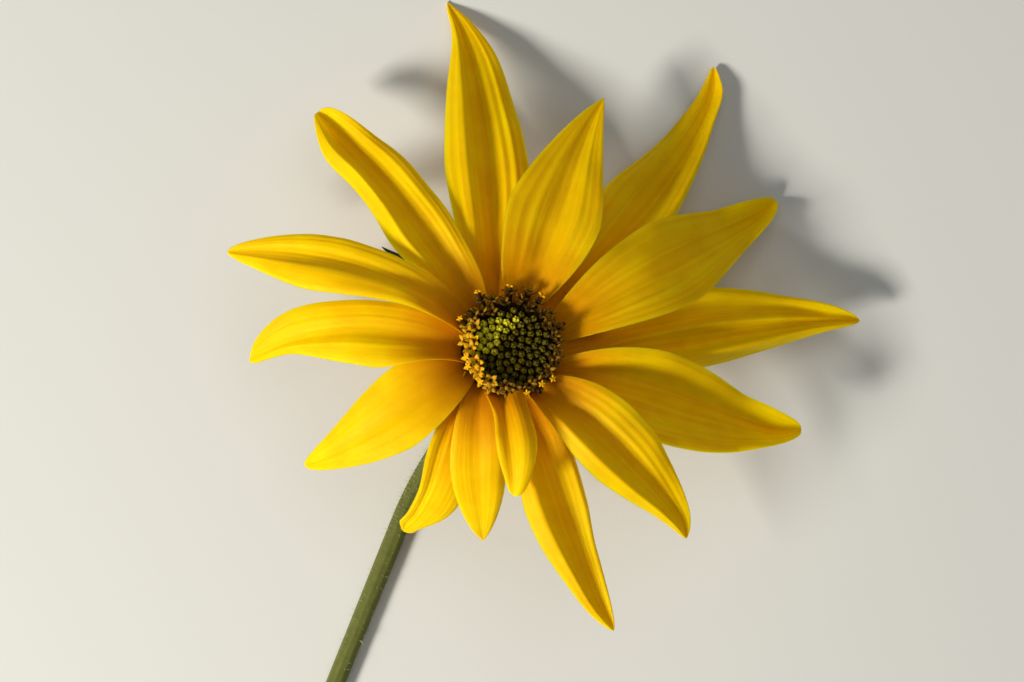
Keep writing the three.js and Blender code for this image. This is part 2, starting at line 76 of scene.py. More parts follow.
# Each row's first two lines follow the source: where the ray stands, how it leaves, where its
# tip lies and how it arrives there, its curve, width, trough and roll. Rays 9 to 11 stand and
# lie a little differently there, and so do some troughs and rolls. The rest only shows close by.
# folds: ridges and valleys along the blade, as place across, height and spread.
# flare: how far the anticlockwise and the clockwise margin turn down.
# tip: how far the tip lifts and swerves. boat: how steeply the margins stand at the tip.
# blunt: below 1 rounds the tip. gutter: how steeply the margins stand at the foot.
# veins: how plainly they show.
# swell: where one margin, anticlockwise -1 or clockwise 1, stands out further, as that margin,
# place along, amount and spread.
RAYS = [
    dict(root=-40, leave=-27, rise=10, bearing=325.7, reach=44, height=0, heading=-50, droop=20,
         arch=(0.45, 0.25), width=10.2, fullest=0.42, taper=1.6, trough=0.9, roll=(-4, 0),
         folds=[(-0.5, 0.9, 0.18), (-0.02, -1.0, 0.26), (0.38, 0.3, 0.1), (0.64, 0.25, 0.1)],
         flare=(1.4, 0.6), tip=(0.0, 0.0), boat=0.3, blunt=0.85,
         swell=[(1, 0.8, 0.7, 0.14), (-1, 0.87, -0.5, 0.1), (-1, 0.14, 0.7, 0.1)]),
    dict(root=-9, leave=-3, rise=34, bearing=356.5, reach=32.7, height=8.5, heading=8, droop=20,
         arch=(0.4, 0.3), width=11.5, fullest=0.42, taper=1.28, trough=0.8, roll=(0, 0),
         folds=[(-0.35, 0.2, 0.14), (0.1, -0.4, 0.25), (0.45, 0.22, 0.14)],
         flare=(0.4, 0.1), tip=(0.0, 0.0), boat=0.2, blunt=0.9,
         swell=[(-1, 0.12, 0.4, 0.1)]),
    dict(root=17, leave=19, rise=4, bearing=12.8, reach=43.5, height=0, heading=-10, droop=14,
         arch=(0.45, 0.25), width=8.4, fullest=0.48, taper=1.2, trough=0.5, roll=(-6, 16),
         folds=[(-0.45, 0.7, 0.28), (0.22, -1.2, 0.24), (0.88, 0.4, 0.12)],
         flare=(1.1, 0.0), tip=(0.8, -0.6), boat=0.6, blunt=0.6,
         swell=[(-1, 0.5, 0.9, 0.2), (-1, 0.8, 0.4, 0.14), (1, 0.93, 0.5, 0.07)]),
    dict(root=43, leave=38, rise=34, bearing=37.7, reach=37.1, height=0, heading=30, droop=42,
         arch=(0.42, 0.3), width=11, fullest=0.46, taper=1.45, trough=0.5, roll=(0, 0),
         folds=[(-0.62, 0.14, 0.08), (-0.3, 0.2, 0.09), (-0.02, -0.22, 0.12), (0.25, 0.16, 0.08),
                (0.5, 0.16, 0.08)],
         flare=(0.3, 0.3), tip=(1.2, -0.4), boat=1.4, blunt=0.7,
         swell=[(1, 0.7, -0.6, 0.2), (-1, 0.62, 0.5, 0.25)]),
    dict(root=73, leave=55, rise=4, bearing=61.5, reach=43, height=4, heading=72, droop=18,
         arch=(0.4, 0.3), width=8.9, fullest=0.4, taper=1.75, trough=1.3, roll=(-4, 0),
         folds=[(-0.5, -1.0, 0.18), (-0.05, 0.9, 0.14), (0.35, -1.1, 0.2), (0.72, 0.8, 0.14)],
         flare=(0.6, 2.4), tip=(0.5, 0.0), boat=0.8, blunt=0.68,
         swell=[(-1, 0.5, 0.7, 0.28), (-1, 0.12, 0.5, 0.1), (1, 0.1, 0.4, 0.1)]),
    dict(root=99, leave=80, rise=22, bearing=83, reach=36.1, height=8, heading=74, droop=28,
         arch=(0.4, 0.3), width=11, fullest=0.42, taper=1.65, trough=1.8, roll=(-6, 0),
         folds=[(-0.35, -1.4, 0.3), (0.15, 0.2, 0.12), (0.5, 0.2, 0.12), (0.8, 0.3, 0.12)],
         flare=(0.3, 0.4), tip=(1.6, -0.4), boat=1.5, blunt=0.7,
         swell=[(1, 0.65, 0.3, 0.2)]),
    dict(root=124, leave=103, rise=39, bearing=111.8, reach=30.7, height=16, heading=123, droop=40,
         arch=(0.45, 0.3), width=8.8, fullest=0.4, taper=2.0, trough=0.9, roll=(0, 0),
         folds=[(-0.3, 0.2, 0.12), (-0.02, -0.7, 0.28), (0.68, 0.6, 0.16)],
         flare=(0.3, 1.5), tip=(0.0, 0.6), boat=0.3, blunt=0.8,
         swell=[(1, 0.45, 0.25, 0.15), (1, 0.78, -0.3, 0.12), (-1, 0.75, -0.3, 0.2)]),
    dict(root=146, leave=134, rise=3, bearing=135.8, reach=35.2, height=20, heading=128, droop=10,
         arch=(0.4, 0.3), width=7.8, fullest=0.4, taper=1.8, trough=0.8, roll=(4, 9),
         folds=[(-0.78, 0.3, 0.12), (-0.15, -0.5, 0.4), (0.66, 0.5, 0.14)],
         flare=(1.0, 1.3), tip=(0.0, 0.0), boat=0.2, blunt=0.7,
         swell=[(1, 0.55, 0.75, 0.25), (-1, 0.55, -0.7, 0.25), (-1, 0.1, 0.6, 0.1),
                (1, 0.86, 0.3, 0.1)]),
    dict(root=175, leave=141, rise=68, bearing=154.4, reach=16.8, height=24.4, heading=178, droop=50,
         arch=(0.45, 0.35), width=4.9, fullest=0.3, taper=3.2, trough=0.4, roll=(-16, -8),
         folds=[(0.3, -0.3, 0.3), (-0.4, 0.3, 0.25)],
         flare=(0.8, 0.3), tip=(0.0, 0.0), boat=0.0, blunt=0.5, gutter=0.4, veins=0.4,
         swell=[(-1, 0.6, 0.4, 0.2), (-1, 0.15, 0.5, 0.12), (1, 0.3, -0.9, 0.25)]),
    dict(root=196, leave=166, rise=19, bearing=164.1, reach=23.1, height=12, heading=152, droop=60,
         arch=(0.4, 0.4), width=6.6, fullest=0.45, taper=1.85, trough=0.2, roll=(-6, -6),
         folds=[(-0.4, 0.06, 0.16), (0.0, -0.08, 0.2), (0.4, 0.06, 0.16)],
         flare=(0.8, 0.4), tip=(0.0, 0.0), boat=0.1, blunt=0.85, veins=0.4,
         swell=[(-1, 0.25, 0.4, 0.15)]),
    dict(root=211, leave=170, rise=-4, bearing=186, reach=25.4, height=10, heading=214, droop=50,
         arch=(0.4, 0.35), width=6.1, fullest=0.5, taper=2.6, trough=0.2, roll=(22, 38),
         folds=[(0.5, -0.3, 0.2), (-0.3, 0.2, 0.3)],
         flare=(0.3, 0.2), tip=(0.0, 0.2), boat=0.1, blunt=0.55, veins=0.9,
         swell=[(-1, 0.7, 0.4, 0.12), (-1, 0.9, -0.5, 0.08), (1, 0.3, 0.4, 0.15),
                (1, 0.66, -0.7, 0.18), (1, 0.92, 0.5, 0.07)]),
    dict(root=221, leave=208, rise=30, bearing=216.7, reach=28.2, height=13, heading=226, droop=50,
         arch=(0.4, 0.35), width=8.9, fullest=0.42, taper=1.4, trough=0.2, roll=(0, 0),
         folds=[(-0.33, 0.1, 0.14), (0.0, -0.12, 0.2), (0.33, 0.1, 0.14)],
         flare=(0.3, 0.3), tip=(0.0, 0.0), boat=0.1, blunt=0.62, veins=0.4,
         swell=[(1, 0.22, 0.9, 0.16)]),
    dict(root=241, leave=263, rise=35, bearing=243.3, reach=31.4, height=11, heading=205, droop=48,
         arch=(0.4, 0.33), width=7.4, fullest=0.4, taper=1.9, trough=0.4, roll=(-4, 0),
         folds=[(-0.4, 0.2, 0.16), (0.0, -0.15, 0.2), (0.4, 0.12, 0.14)],
         flare=(0.6, 0.3), tip=(0.0, 0.0), boat=0.1, blunt=0.7, veins=0.5,
         swell=[(1, 0.75, 1.0, 0.2), (-1, 0.75, -0.8, 0.15), (1, 0.12, 0.5, 0.1),
                (-1, 0.32, 0.9, 0.16)]),
    dict(root=270, leave=281, rise=43, bearing=265.1, reach=36, height=12, heading=246, droop=35,
         arch=(0.4, 0.35), width=6.5, fullest=0.54, taper=1.9, trough=0.6, roll=(-26, 6),
         folds=[(-0.4, 0.4, 0.2), (0.15, -0.2, 0.2), (0.55, 0.12, 0.14)],
         flare=(0.9, 0.3), tip=(0.0, 0.0), boat=0.1, blunt=0.6, veins=0.7,
         swell=[(-1, 0.12, 0.3, 0.1), (-1, 0.62, 0.9, 0.25)]),
    dict(root=295, leave=303, rise=20, bearing=296.7, reach=37.2, height=6, heading=286, droop=32,
         arch=(0.4, 0.35), width=7.3, fullest=0.45, taper=3.4, trough=0.8, roll=(0, 0),
         folds=[(-0.62, 0.6, 0.15), (-0.05, -0.7, 0.34), (0.6, 0.12, 0.12)],
         flare=(1.3, 0.5), tip=(0.3, 0.0), boat=0.9, blunt=0.6,
         swell=[(-1, 0.82, 0.9, 0.1), (1, 0.82, -0.4, 0.14), (1, 0.12, 0.3, 0.1),
                (-1, 0.34, 0.9, 0.14)]),
]

# Bracts in three rings: foot radius and level, rise, reach, level of the tip, width. One of
# them is longer than the rest and shows between two rays.
BRACT_RINGS = [
    dict(count=8, first=8, foot=(3.4, -5.3), rise=0, reach=10.8, level=-6.6, width=2.6),
    dict(count=8, first=30, foot=(4.4, -4.6), rise=18, reach=11.8, level=-4.6, width=3.0),
    dict(count=8, first=18, foot=(5.2, -3.6), rise=22, reach=11.5, level=-2.7, width=3.2),
]
LONG_BRACT = dict(bearing=288, turn=0.7, reach=20.2, width=2.2, pointed=4.0)
BRACT_POINTED = 1.3
BRACT_SCATTER = 0.8
BRACT_THICKNESS = 0.34
BRACT_STEPS, BRACT_COLUMNS = 28, 10

# The disc. Levels are above the rim, and a foot stands nearer the axis than its top.
GOLDEN_ANGLE = 137.508
BUDS, FLORETS, HALF_OPEN = 82, 46, 20
BUD_SPACING, FOOT_SHARE = 0.53, 0.74
BUD_FOOT_LEVEL, BUD_LEVEL = 1.1, 2.85
FLORET_BAND = (4.85, 6.5)
FLORET_FOOT, FLORET_FOOT_SPREAD = 4.0, 0.3
FLORET_FOOT_LEVEL, FLORET_LEVEL, FLORET_DROP = 0.7, 3.2, 0.5
SCALE_FOOT_LIMIT, SCALE_LIMIT, SCALE_LEVEL, SCALE_TURN = 4.6, 6.6, 2.3, 26
LEAN_BEARING, LEAN = 158, 0.65  # where the tops lean over to, and how far
RING_TALL, RING_HIGH, RING_NARROW, RING_LEFT = 0.3, 0.35, 0.8, 0.2  # how the ring leaves a circle
SHADE_BEARING = 48  # the side of the ring whose florets are painted darker and browner: painted shade, and partly older florets
RIPE_AND_LIT_BEARING = 292  # the side of the disc whose buds are ripe and painted bright, as painted light
CORE_BEARING, CORE_OFFSET, CORE_EDGE = RIPE_AND_LIT_BEARING + 160, 1.6, (3.1, 3.9)  # the dark buds: unripe, and darkened as painted shade

# The stem, from the cut end to where it leaves the table and bends up to the head.
STEM_RADIUS = (1.0, 1.2)
NECK_RADIUS, NECK_FLARE = 1.7, 0.3
CUT_END = Vector((-1.3, -95.0, 0))
TOUCH_DOWN = Vector((-3.7, -25.0, 0))
BEND_PULL, NECK_PULL = 11, 7
STEM_STEPS, BEND_STEPS, STEM_SIDES = 90, 60, 40
STEM_RIDGES = 9
STEM_HAIRS, HAIRS_ALL_OVER = 1300, 0.45  # the rest of the hairs stand on the bend and neck

WHOLE_TURN = 6.28
DOUBLES = 0.0005  # vertices closer than this become one


# Helpers.

def lerp(a, b, t):
    return a + (b - a) * t


def smooth(t, low, high):
    s = min(max((t - low) / (high - low), 0.0), 1.0)
    return s * s * (3 - 2 * s)


def hump(x, centre, spread):
    return math.exp(-((x - centre) / spread) ** 2)


def scatter(seed):
    """The source's own scatter, from -0.5 to 0.5."""
    return (sin(seed * 12.9898) * 43758.5453) % 1.0 - 0.5


def upright(height):
    return Vector((0, 0, height))


def bearing_vector(bearing):
    return Vector((sin(radians(bearing)), cos(radians(bearing)), 0.0))


def in_head(radius, bearing, level):
    """A point of the head's own frame, in the flower's."""
    return HEAD @ (bearing_vector(bearing) * radius + upright(level))


def new_bmesh():
    """A bmesh whose vertices carry the tone that their tissue's colour follows."""
    bm = bmesh.new()
    bm.verts.layers.float.new("height")
    return bm


def wrapped_grid(bm, steps, around):
    """A grid whose vertices come back with their row and their column."""
    made = bmesh.ops.create_grid(bm, x_segments=steps, y_segments=around, size=1.0)["verts"]
    return [(v, round((v.co.x + 1) / 2 * steps), round((v.co.y + 1) / 2 * around)) for v in made]


def finish_piece(name, bm, skins, replaced=None, sharp=50):
    """Turns a bmesh in millimetres into a piece in metres that rides with the flower."""
    bmesh.ops.scale(bm, vec=(MM, MM, MM), verts=bm.verts)
    mesh = bpy.data.meshes.new(name)
    bm.to_mesh(mesh)
    bm.free()
    for skin in skins:
        mesh.materials.append(skin)
    for face in mesh.polygons:
        face.use_smooth = True
    mesh.set_sharp_from_angle(angle=radians(sharp))
    piece = bpy.data.objects.new(name, mesh)
    scene.collection.objects.link(piece)
    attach(piece, "root")
    if replaced:
        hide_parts(replaced)


def blade(bm, steps, columns, place, thickness):
    """A closed thin blade: a grid wrapped round it, from one margin over the face to the other
    margin and back underneath. place gives its middle layer and the way its face looks. The
    face has the piece's first material, and the back its second."""
    uv = bm.loops.layers.uv.verify()
    spots = {}
    for v, i, j in wrapped_grid(bm, steps, 2 * columns):
        face = 1 if j <= columns else -1
        u = 2 * j / columns - 1 if face > 0 else 3 - 2 * j / columns
        t = i / steps
        middle, up = place(t, u)
        body = thickness / 2 * (1 - abs(u) ** 6) ** 0.5 * min(1.0, t / 0.02) ** 0.5
        v.co = middle + up * body * face
        spots[v] = (t, (u + 1) / 2, j)
    faces = {f for v in spots for f in v.link_faces}
    for f in faces:
        f.material_index = max(spots[v][2] for v in f.verts) > columns
        for loop in f.loops:
            loop[uv].uv = spots[loop.vert][:2]
    bmesh.ops.recalc_face_normals(bm, faces=list(faces))
    bmesh.ops.remove_doubles(bm, verts=list(spots), dist=DOUBLES)


# Materials.

# A colour Mix node's sockets, which share their names with others: share, two colours, result.
SHARE, COLOUR_A, COLOUR_B, MIXED = 0, 6, 7, 2

# Petals: from where to where the orange foot fades, its orange partly the petal's own and partly painted
# shade near the head, how dark veins are, and how many cells of the vein patterns lie along and across a
# blade of about 35 by 9 mm. That puts fine veins 0.3 mm apart, coarser than a petal's own rows of cells so
# that they show, and bands 0.6 mm apart. Patches are about 4 mm wide.
ORANGE_AND_SHADED_FOOT = (6.0, 16.5)
VEIN_CONTRAST = 0.36
FINE_VEINS, BANDS = (2.2, 34.0, 0.0), (0.9, 15.0, 0.0)
PATCHES_PER_METRE = 260.0


def rgb(code):
    """An sRGB hex colour as linear."""
    parts = [int(code[i:i + 2], 16) / 255 for i in (1, 3, 5)]
    return (*[p / 12.92 if p <= 0.04045 else ((p + 0.055) / 1.055) ** 2.4 for p in parts], 1.0)


def add(tree, kind, inputs=(), **settings):
    """Adds a node with its settings; an input is a value or another node's socket."""
    node = tree.nodes.new(kind)
    for key, value in settings.items():
        setattr(node, key, value)
    for key, value in dict(inputs).items():
        if isinstance(value, bpy.types.NodeSocket):
            tree.links.new(value, node.inputs[key])
        else:
            node.inputs[key].default_value = value
    return node


def material(name, **sockets):
    """A new material, its tree, and its Principled node with those values."""
    made = bpy.data.materials.new(name)
    made.use_nodes = True
    shader = made.node_tree.nodes["Principled BSDF"]
    for key, value in sockets.items():
        shader.inputs[key.replace("_", " ")].default_value = value
    return made, made.node_tree, shader


def petal(name, foot, blade_colour, vein, rim):
    """A ray's skin: an orange foot that painted shade darkens near the head, a yellow blade with
    lengthwise veins, a thin pale rim partly painted with the glow of light through it.
    """
    made, tree, shader = material(
        name, Roughness=0.55, IOR=1.4, Specular_IOR_Level=0.08, Subsurface_Weight=0.85,
        Subsurface_Radius=(0.7, 0.68, 0.02), Subsurface_Scale=0.9 * MM)
    where = add(tree, "ShaderNodeTexCoord").outputs["Object"]
    on_blade = add(tree, "ShaderNodeUVMap").outputs[0]

    # The foot's orange, darkened near the head as painted shade, turns to the blade's yellow.
    from_head = add(tree, "ShaderNodeVectorMath", {0: where, 1: HEAD_AT * MM}, operation="DISTANCE")
    past_foot = add(tree, "ShaderNodeMapRange", {
        "Value": from_head.outputs["Value"],
        "From Min": ORANGE_AND_SHADED_FOOT[0] * MM, "From Max": ORANGE_AND_SHADED_FOOT[1] * MM},
        interpolation_type="SMOOTHSTEP")
    colour = add(tree, "ShaderNodeMix", {
        SHARE: past_foot.outputs[0], COLOUR_A: rgb(foot), COLOUR_B: rgb(blade_colour)}, data_type="RGBA")

    # Fine veins and broader bands, as plain as the ray's own attribute makes them.
    plainly = add(tree, "ShaderNodeAttribute", attribute_name="veins").outputs["Fac"]
    contrast = add(tree, "ShaderNodeMath", {0: plainly, 1: VEIN_CONTRAST}, operation="MULTIPLY")
    fine = add(tree, "ShaderNodeVectorMath", {0: on_blade, 1: FINE_VEINS}, operation="MULTIPLY")
    broad = add(tree, "ShaderNodeVectorMath", {0: on_blade, 1: BANDS}, operation="MULTIPLY")
    fibres = add(tree, "ShaderNodeTexNoise", {
        "Vector": fine.outputs[0], "Scale": 1.0, "Detail": 3.0, "Roughness": 0.6})
    bands = add(tree, "ShaderNodeTexNoise", {"Vector": broad.outputs[0], "Scale": 1.0, "Detail": 1.0})
    for pattern, low, high in ((fibres, 0.5, 0.75), (bands, 0.42, 0.62)):
        shown = add(tree, "ShaderNodeMapRange", {
            "Value": pattern.outputs[0], "From Min": low, "From Max": high,
            "To Min": 0.0, "To Max": contrast.outputs[0]})
        colour = add(tree, "ShaderNodeMix", {
            SHARE: shown.outputs[0], COLOUR_A: colour.outputs[MIXED], COLOUR_B: rgb(vein)},
            data_type="RGBA")

    # Deeper and paler patches.
    patches = add(tree, "ShaderNodeTexNoise", {
        "Vector": where, "Scale": PATCHES_PER_METRE, "Detail": 2.0})
    patchy = add(tree, "ShaderNodeMapRange", {
        "Value": patches.outputs[0], "From Min": 0.35, "From Max": 0.7, "To Min": 0.93, "To Max": 1.06})
    toned = add(tree, "ShaderNodeHueSaturation", {
        "Value": patchy.outputs[0], "Color": colour.outputs[MIXED]})

    # The rim: pale, partly the thin margin's own colour and partly painted glow of light through it.
    across = add(tree, "ShaderNodeSeparateXYZ", {0: on_blade}).outputs["Y"]
    centred = add(tree, "ShaderNodeMath", {0: across, 1: 0.5}, operation="SUBTRACT")
    off_midrib = add(tree, "ShaderNodeMath", {0: centred.outputs[0]}, operation="ABSOLUTE")
    edge = add(tree, "ShaderNodeMapRange", {
        "Value": off_midrib.outputs[0], "From Min": 0.475, "From Max": 0.5, "To Min": 0.0, "To Max": 0.5})
    rimmed = add(tree, "ShaderNodeMix", {
        SHARE: edge.outputs[0], COLOUR_A: toned.outputs[0], COLOUR_B: rgb(rim)}, data_type="RGBA")
    tree.links.new(rimmed.outputs[MIXED], shader.inputs["Base Color"])
    bump = add(tree, "ShaderNodeBump", {
        "Height": fibres.outputs[0], "Strength": 0.25, "Distance": 0.12 * MM})
    tree.links.new(bump.outputs[0], shader.inputs["Normal"])
    return made


def tissue(name, colours, roughness, pattern_mm, subsurface=0.4, gloss=0.4):
    """Plant tissue whose colour runs through two or three by an attribute, with a mottle whose
    patches are about pattern_mm wide, coarser than its real cells so that it shows."""
    made, tree, shader = material(
        name, Roughness=roughness, IOR=1.4, Specular_IOR_Level=gloss, Subsurface_Weight=subsurface,
        Subsurface_Radius=(0.6, 0.5, 0.1), Subsurface_Scale=0.4 * MM)
    share = add(tree, "ShaderNodeAttribute", attribute_name="height").outputs["Fac"]
    where = add(tree, "ShaderNodeTexCoord").outputs["Object"]
    mottle = add(tree, "ShaderNodeTexNoise", {
        "Vector": where, "Scale": 1 / (pattern_mm * MM), "Detail": 3.0})
    swing = add(tree, "ShaderNodeMapRange", {
        "Value": mottle.outputs[0], "From Min": 0.3, "From Max": 0.7, "To Min": -0.12, "To Max": 0.12})
    tone = add(
        tree, "ShaderNodeMath", {0: share, 1: swing.outputs[0]}, operation="ADD", use_clamp=True)
    colour, parts = rgb(colours[0]), len(colours) - 1
    for part in range(parts):
        within = add(tree, "ShaderNodeMapRange", {
            "Value": tone.outputs[0], "From Min": part / parts, "From Max": (part + 1) / parts})
        colour = add(tree, "ShaderNodeMix", {
            SHARE: within.outputs[0], COLOUR_A: colour, COLOUR_B: rgb(colours[part + 1])},
            data_type="RGBA").outputs[MIXED]
    tree.links.new(colour, shader.inputs["Base Color"])
    raised = add(tree, "ShaderNodeBump", {
        "Height": mottle.outputs[0], "Strength": 0.3, "Distance": 0.1 * MM})
    tree.links.new(raised.outputs[0], shader.inputs["Normal"])
    return made


# Petals are matt and a little velvety, and light comes through them and makes them glow.
# The foot colours are darker than the petals' own orange, as painted shade near the head, and the pale rim
# colours are partly painted glow of light through the thin margins.
ray_face = petal("Ray petal, upper skin", "#CC7E00", "#FFC800", "#DCA200", "#FFD01A")
ray_back = petal("Ray petal, underside", "#B47A00", "#F0C000", "#CFA200", "#FFD21C")

# Young buds are waxy beads, olive, and yellow-green where they are ripe. Painted shade darkens their sides
# and the furrows between them, and painted light brightens their tips.
bud_skin = tissue("Closed disc bud, waxy green", ("#201503", "#66580A", "#E4D62C"), 0.55, 0.5,
                  subsurface=0.1, gloss=0.1)

# Corolla lobes are matt and yellow and go brown along their edges. Their throats are dark with painted
# shade, and the florets on one side of the ring are darker and browner, partly with age and partly as
# painted shade.
lobe_skin = tissue("Disc floret, yellow corolla", ("#3A2206", "#E8AC12"), 0.6, 0.5,
                   subsurface=0.2, gloss=0.2)

# Anthers are dry and dark, so they read as dull brown specks.
anther_skin = tissue("Anther tube, dark brown", ("#120A03", "#6A4410"), 0.7, 0.3,
                     subsurface=0.0, gloss=0.1)

# Pollen is a bright orange powder without any shine.
stigma_skin = tissue("Stigma and pollen, orange", ("#9A5A06", "#FFBC14"), 0.8, 0.2,
                     subsurface=0.2, gloss=0.1)

# Chaff is dry and dull; its dark colour is partly its own and partly painted shade in the gaps between
# florets.
scale_skin = tissue("Chaffy scale, dry green brown", ("#2A1A08", "#5A4A18"), 0.8, 0.4,
                    subsurface=0.0, gloss=0.1)

# The cup's rind is firm and nearly matt.
cup_skin = tissue("Receptacle, green rind", ("#241E08", "#4C6124"), 0.7, 0.8, gloss=0.2)

# Bracts are leathery leaf with a soft shine, paler underneath.
bract_skin = tissue("Bract, dark green leaf", ("#1C2A0E", "#47602A"), 0.55, 0.7)
bract_back = tissue("Bract, underside", ("#22300F", "#5A7336"), 0.6, 0.7)

# The stem's rind is rough, ridged and mottled, and darker on its bend and neck as painted shade under the
# head. Its pith is pale, spongy and matt.
stem_skin = tissue("Stem, rough green rind", ("#34380C", "#6E7430"), 0.6, 0.9)
pith = tissue("Stem pith, pale", ("#B8BE8A", "#DCE0BC"), 0.8, 0.5)

# Hairs are stiff and clear, and catch the light along the stem's outline.
hair_skin = tissue("Stiff hair, clear", ("#B9BFA0", "#DDE2C8"), 0.35, 1.0, subsurface=0.6)


# Rays.

def ray_stations(ray):
    """Along the ray's midline, for each step: point, side, face, half width and margins."""
    foot = in_head(RAY_FOOT_RADIUS, ray["root"], RAY_FOOT_LEVEL)
    rise, droop = radians(ray["rise"]), radians(ray["droop"])
    leave = HEAD_TURN @ (bearing_vector(ray["leave"]) * cos(rise) + upright(sin(rise)))
    tip = Vector((HEAD_AT.x, HEAD_AT.y, ray["height"])) + bearing_vector(ray["bearing"]) * ray["reach"]
    arrive = bearing_vector(ray["heading"]) * cos(droop) - upright(sin(droop))
    chord = (tip - foot).length
    first = foot + leave * ray["arch"][0] * chord
    last = tip - arrive * ray["arch"][1] * chord
    parts = 400
    fine = interpolate_bezier(foot, first, last, tip, parts + 1)
    run = [0.0]
    for a, b in zip(fine, fine[1:]):
        run.append(run[-1] + (b - a).length)
    stations, k = [], 0
    for i in range(RAY_STEPS + 1):
        t = i / RAY_STEPS
        while k < parts - 1 and run[k + 1] < t * run[-1]:
            k += 1
        share = (t * run[-1] - run[k]) / (run[k + 1] - run[k])
        point = fine[k].lerp(fine[k + 1], share)
        along = (fine[min(k + 2, parts)] - fine[max(k - 1, 0)]).normalized()
        across = HEAD_TURN @ bearing_vector(lerp(ray["leave"], ray["heading"], t) + 90)
        across = (across - along * across.dot(along)).normalized()
        face = across.cross(along)
        roll = radians(lerp(*ray["roll"], t))
        side = across * cos(roll) + face * sin(roll)
        up = face * cos(roll) - across * sin(roll)
        stations.append((point, side, up, ray_half_width(ray, t), ray_margins(ray, t)))
    return stations


def ray_half_width(ray, t):
    """A claw that widens to the full blade, which tapers to its tip."""
    if t < ray["fullest"]:
        return lerp(CLAW_WIDTH, ray["width"], sin(pi / 2 * t / ray["fullest"])) / 2
    s = (t - ray["fullest"]) / (1 - ray["fullest"])
    return ray["width"] / 2 * max(0.0, 1 - s ** ray["taper"]) ** (1 - (1 - ray["blunt"]) * s ** 4)


def ray_margins(ray, t):
    """How much further the two margins stand out at a share t of the length."""
    out = [0.0, 0.0]
    for margin, centre, amount, spread in ray["swell"]:
        out[margin > 0] += amount * hump(t, centre, spread) * smooth(1 - t, 0.0, 0.08)
    return out


def make_ray(index, ray):
    stations = ray_stations(ray)
    seed = 10.0 * index
    plainness = ray.get("veins", 1.0)

    def place(t, u):
        point, side, up, half, out = stations[round(t * RAY_STEPS)]
        grown = 2 * half / ray["width"] * smooth(t, *FOLDS_IN)
        steep = 2 * ray["trough"] / ray["width"] + ray["boat"] * smooth(t, *BOAT_IN)
        steep += ray.get("gutter", FOOT_GUTTER) * (1 - smooth(t, *GUTTER_OUT))
        lift = half * steep * abs(u) ** 1.4
        for centre, height, spread in ray["folds"]:
            lift += grown * height * hump(u, centre, spread)
        margin = max(0.0, abs(u) - FLARE_FROM) / (1 - FLARE_FROM)
        lift -= grown * ray["flare"][u > 0] * margin ** 2
        wander = VEIN_WANDER * noise.noise(Vector((t * 1.2, u * 1.6, seed + 5)))
        lift += grown * VEIN_HEIGHT * plainness * cos(2 * pi * (VEINS * u + wander))
        lift += grown * SLOW_WAVES * noise.noise(Vector((t * 5, u * 1.1, seed)))
        lift += grown * MARGIN_WAVES * abs(u) ** 3 * noise.noise(Vector((t * 7, 5 + u, seed)))
        end = max(0.0, (t - TIP_FROM) / (1 - TIP_FROM)) ** 2
        lift += ray["tip"][0] * end
        aside = u * (half + out[u > 0]) + ray["tip"][1] * end
        spot = point + side * aside + up * lift
        spot.z = max(spot.z, LOWEST)
        return spot, up

    bm = bmesh.new()
    blade(bm, RAY_STEPS, RAY_COLUMNS, place, RAY_THICKNESS)
    veins = bm.verts.layers.float.new("veins")
    for v in bm.verts:
        v[veins] = plainness
    name, node = f"ray_petal_{index + 1:02d}", f"ray_floret_{index + 1:02d}"
    finish_piece(name, bm, [ray_face, ray_back], node, sharp=70)


for index, ray in enumerate(RAYS):
    make_ray(index, ray)


# The shapes that are set many times, each built round Z.

def plain(radius, level, tone):
    """A ring without lobes."""
    return (radius, level, radius, level, tone)


def lathe(bm, sides, rings):
    """Rings of (radius, level, radius at a lobe, level at a lobe, tone) joined round an axis.
    Between its five lobes a ring keeps its own radius and level. Of two tones, the first is at
    the lobes' edges and the second along their middles."""
    layer = bm.verts.layers.float["height"]
    made = wrapped_grid(bm, len(rings) - 1, sides)
    for v, i, j in made:
        radius, level, lobe_radius, lobe_level, tone = rings[i]
        turn = j / sides
        lobe = abs(turn * 5 % 1.0 - 0.5) * 2
        r, z = lerp(radius, lobe_radius, lobe), lerp(level, lobe_level, lobe)
        v.co = Vector((r * cos(2 * pi * turn), r * sin(2 * pi * turn), z))
        v[layer] = lerp(*tone, smooth(lobe, 0.0, 0.4)) if isinstance(tone, tuple) else tone
    faces = list({f for v, _, _ in made for f in v.link_faces})
    bmesh.ops.remove_doubles(bm, verts=[v for v, _, _ in made], dist=DOUBLES)
    bmesh.ops.recalc_face_normals(bm, faces=[f for f in faces if f.is_valid])


def bud(bm):
    """A closed bud: a waxy bead whose five lobes meet in a blunt point, dark down its sides with painted
    shade and bright at its tip with painted light.
    """
    lathe(bm, 15, [
        plain(0.0, -1.75, 0.0),
        plain(0.26, -1.7, 0.0),
        plain(0.32, -1.1, 0.0),
        (0.4, -0.6, 0.39, -0.6, 0.2),
        (0.39, -0.4, 0.41, -0.38, (0.3, 0.45)),
        (0.33, -0.2, 0.38, -0.12, (0.5, 0.8)),
        (0.2, -0.05, 0.29, 0.08, (0.55, 1.0)),
        (0.09, -0.02, 0.16, 0.16, (0.4, 0.95)),
        plain(0.0, 0.0, 0.4)])


